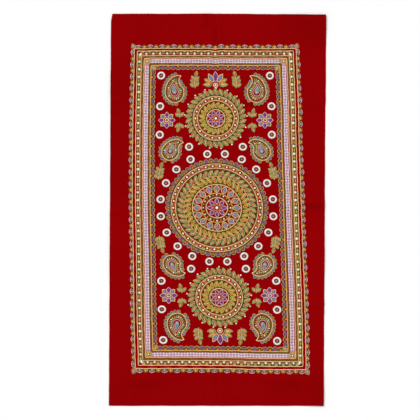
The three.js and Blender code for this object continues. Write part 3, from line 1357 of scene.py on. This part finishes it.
def sprig(base, turn, length, bend, pairs):
    """A bent stem with pairs of leaves and one at the tip."""
    s = np.linspace(0, 1, 12)
    steps = heading(turn + bend * s) * length / (len(s) - 1)
    stem = np.cumsum(steps, axis=0) - steps[0] + base
    thread("peach", stem, 1.1)
    for k in range(pairs):
        share = (k + 0.4) / (pairs + 0.4)
        at = point_at(share, s, stem)
        for sideways in (-0.85, 0.85):
            out = heading(turn + bend * share + sideways)
            tip = at + SPRIG_LEAF * (1 - 0.2 * share) * out
            fill = "orange" if k % 2 else "yellow"
            leaf("green", fill, at + 0.8 * out, tip, SPRIG_LEAF_WIDTH, 1.0)
    end = stem[-1]
    leaf("green", "orange", end, end + TIP_LEAF * heading(turn + bend), SPRIG_LEAF_WIDTH, 1.0)


print("blossom and sprig are ready")

# %% Fill the field
EYELETS = [(90, 121), (90, 168), (89, 219), (43, 101)]

for along_sign in (-1, 1):
    upright = along_sign * math.pi / 2
    lotus((0.0, along_sign * 203.0), upright)
    for across_sign in (-1, 1):
        spin = across_sign * along_sign
        blossom((across_sign * 79, along_sign * 145), 13.5)
        sprig((across_sign * 33, along_sign * 198), upright - 0.25 * spin, 20, 0.5 * spin, 3)
        sprig((across_sign * 92, along_sign * 46), upright, 21, 0.3 * spin, 3)
        sprig((across_sign * 58, along_sign * 149), upright, 7, -0.3 * spin, 1)
        sprig((across_sign * 58, along_sign * 141), -upright, 7, 0.3 * spin, 1)
for x, y in EYELETS:
    for along_sign, across_sign in QUARTERS:
        eyelet((across_sign * x, along_sign * y))
print("threads and beads use", sum(pot["count"] for pot in pots.values()), "points")

# %% [markdown]
# ## From pots to pieces
# All threads of one colour become one mesh. A few thousand small objects would do the
# same, but would be slow to open and to render.

# %% Turn each pot into a piece
def set_out(name, pot):
    """One joined mesh from everything poured in a pot."""
    points = (np.concatenate(pot["points"]) * MM).tolist()
    mesh = bpy.data.meshes.new(name)
    mesh.from_pydata(points, [], np.concatenate(pot["quads"]).tolist() + pot["caps"])
    piece = bpy.data.objects.new(name, mesh)
    bpy.context.collection.objects.link(piece)
    bpy.ops.object.select_all(action="DESELECT")
    piece.select_set(True)
    bpy.context.view_layer.objects.active = piece
    bpy.ops.object.shade_smooth_by_angle(angle=math.radians(58))
    return piece


paste_pieces = {colour: set_out(colour + "_paste", pot) for colour, pot in pots.items()}
for colour, piece in paste_pieces.items():
    piece.data.calc_loop_triangles()
    print(colour, len(piece.data.loop_triangles), "triangles")

# %% [markdown]
# ## Castor-oil paste
# The paste is oil boiled until it is a gum, mixed with mineral colour and chalk. It dries
# to a tough skin with a satin gloss: castor oil bends light by about 1.48, and the chalk
# makes the skin a little rough. Where the thread is thin the colour is deeper, and where
# it pooled it is paler, in patches of a few millimetres.

# %% Mix the paste's finish
PATCHES = 220.0  # of pale and deep paste to a metre, each about 5 mm across
GRIT = 2400.0  # grains of chalk to a metre
GRIT_DEPTH = 0.2  # mm


def paste_finish(colour, hex_colour):
    """Satin paste of one colour, pale in some patches and deep in others."""
    paste, skin = new_finish("castor oil paste " + colour)
    where = add(paste, "TexCoord").outputs["Object"]
    pooled = add(paste, "TexNoise", Vector=where, Scale=PATCHES, Detail=2.0).outputs["Fac"]
    tone = add(paste, "ValToRGB", Fac=pooled)
    deep, pale = tone.color_ramp.elements
    deep.position, pale.position = 0.3, 0.7
    deep.color, pale.color = linear(hex_colour, 0.84), linear(hex_colour, 1.1)
    grit = add(paste, "TexNoise", Vector=where, Scale=GRIT, Detail=1.0).outputs["Fac"]
    pull = add(paste, "Bump", Height=grit, Strength=0.12, Distance=GRIT_DEPTH * MM)
    gloss = add(paste, "MapRange", Value=pooled, To_Min=0.34, To_Max=0.46)
    plug(paste, skin, Base_Color=tone.outputs[0], Normal=pull.outputs[0])
    plug(paste, skin, Roughness=gloss.outputs[0], IOR=1.48, Specular_IOR_Level=0.2)
    return paste


for colour, piece in paste_pieces.items():
    piece.data.materials.append(paste_finish(colour, PASTES[colour]))
print(len(paste_pieces), "paste finishes")

# %% [markdown]
# ## Table, light and camera
# A plain white table, an even sky and one broad lamp from the upper left. The lamp and the
# sky together light a flat surface at a strength of one, so each colour shows as mixed.
# To the camera the table and the sky are plain white. That extra brightness isn't lent to
# the cloth, because a Light Path node keeps it for what the camera sees.

# %% Table
TABLE_DROP = 0.3  # mm, to keep the table clear of the cloth's underside

bpy.ops.mesh.primitive_plane_add(size=8, location=(0, 0, -TABLE_DROP * MM))
table = bpy.context.object
table.name = "table"
table_white, top = new_finish("matt white table")
seen = add(table_white, "LightPath").outputs["Is Camera Ray"]
glow = add(table_white, "Math", {"operation": "MULTIPLY"}, in_0=seen, in_1=0.1)
plug(table_white, top, Base_Color=(0.9, 0.9, 0.9, 1), Roughness=0.9, Specular_IOR_Level=0.1)
plug(table_white, top, Emission_Color=(1, 1, 1, 1), Emission_Strength=glow.outputs[0])
table.data.materials.append(table_white)
print("table lies", TABLE_DROP, "mm under the cloth")

# %% Light
SKY_SHARE = 0.64  # of the light, and the lamp gives the rest
LAMP_TILT, LAMP_TURN = math.radians(42), math.radians(40)
LAMP_WIDTH = math.radians(24)  # as seen from the cloth, broad enough for soft shadows

sky = bpy.data.worlds.new("even sky")
bpy.context.scene.world = sky
sky.use_nodes = True
seen = add(sky, "LightPath").outputs["Is Camera Ray"]
strength = add(sky, "MapRange", Value=seen, To_Min=SKY_SHARE, To_Max=1.0).outputs[0]
plug(sky, sky.node_tree.nodes["Background"], Color=(1, 1, 1, 1), Strength=strength)

lamp_strength = (1 - SKY_SHARE) * math.pi / math.cos(LAMP_TILT)
bpy.ops.object.light_add(type="SUN", location=(-1, 1, 1.5), rotation=(-LAMP_TILT, 0, LAMP_TURN))
lamp = bpy.context.object
lamp.data.energy = lamp_strength
lamp.data.angle = LAMP_WIDTH
print("lamp strength:", round(lamp_strength, 2))

# %% Camera
VIEW_WIDTH = 686.9  # of the table that the camera sees
VIEW_X, VIEW_Y = -12.0, -0.4  # it looks straight down, a little left of the middle
LENS, SENSOR = 85.0, 36.0

camera_place = (VIEW_X * MM, VIEW_Y * MM, VIEW_WIDTH * LENS / SENSOR * MM)
bpy.ops.object.camera_add(location=camera_place, rotation=(0, 0, 0))
camera = bpy.context.object
camera.data.lens = LENS
camera.data.sensor_width = SENSOR
bpy.context.scene.camera = camera
bpy.context.scene.view_settings.view_transform = "Standard"
print("camera height, m:", round(camera.location.z, 3))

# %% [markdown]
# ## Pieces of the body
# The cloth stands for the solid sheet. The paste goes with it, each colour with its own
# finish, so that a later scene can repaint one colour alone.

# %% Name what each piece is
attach(cloth, "root")
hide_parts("cloth")
for colour, piece in paste_pieces.items():
    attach(piece, "root")
